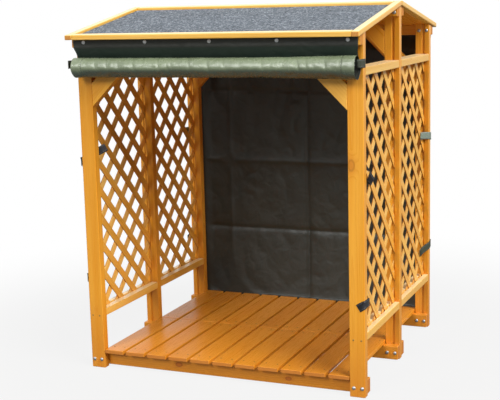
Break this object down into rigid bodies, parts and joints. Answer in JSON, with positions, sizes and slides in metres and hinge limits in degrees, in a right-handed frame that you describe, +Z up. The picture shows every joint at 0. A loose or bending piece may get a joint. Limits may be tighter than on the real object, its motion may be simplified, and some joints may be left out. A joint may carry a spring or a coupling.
{
  "type": "log store",
  "caption": "Open-fronted timber log store with lattice sides, slatted floor, shallow felted gable roof, a cover rolled up along the front and a cover hung at the back.",
  "frame": {"origin": "on the ground under the middle of the store", "axes": "+X to the right across the open front, +Y from the front to the back, +Z up"},
  "size_m": [1.376, 1.3452, 1.6913],
  "materials": {
    "stained_wood": "planed softwood with a honey-coloured stain",
    "lattice_wood": "thin sawn softwood strips with a honey-coloured stain",
    "roofing_felt": "blue-grey mineral granules on felt",
    "green_sheet": "coated woven sheet, grey-green on one face and near black on the other",
    "dark_sheet": "coated woven sheet with fold creases",
    "black_strap": "black hook-and-loop webbing",
    "green_strap": "grey-green webbing"
  },
  "bodies": {
    "root": {"front_left_post": "stained_wood", "front_right_post": "stained_wood", "middle_left_post": "stained_wood", "middle_right_post": "stained_wood", "rear_left_post": "stained_wood", "rear_right_post": "stained_wood", "front_eaves_beam": "stained_wood", "rear_eaves_beam": "stained_wood", "front_ridge_beam": "stained_wood", "rear_ridge_beam": "stained_wood", "front_left_brace": "stained_wood", "front_right_brace": "stained_wood", "middle_left_brace": "stained_wood", "middle_right_brace": "stained_wood", "rear_left_brace": "stained_wood", "rear_right_brace": "stained_wood", "front_foot_beam": "stained_wood", "middle_front_foot_beam": "stained_wood", "middle_rear_foot_beam": "stained_wood", "rear_foot_beam": "stained_wood", "front_floor_slats": "stained_wood", "rear_floor_slats": "stained_wood", "left_front_lattice": "lattice_wood", "left_rear_lattice": "lattice_wood", "right_front_lattice": "lattice_wood", "right_rear_lattice": "lattice_wood", "left_top_rails": "stained_wood", "left_bottom_rails": "stained_wood", "right_top_rails": "stained_wood", "right_bottom_rails": "stained_wood", "front_roof_deck": "stained_wood", "rear_roof_deck": "stained_wood", "front_roof_felt": "roofing_felt", "rear_roof_felt": "roofing_felt", "front_eaves_trim": "stained_wood", "rear_eaves_trim": "stained_wood", "front_ridge_trim": "stained_wood", "rear_ridge_trim": "stained_wood", "front_rake_trims": "stained_wood", "rear_rake_trims": "stained_wood", "front_cover": "green_sheet", "rear_cover": "dark_sheet", "front_straps": "black_strap", "rear_straps": "green_strap"}
  },
  "joints": []
}
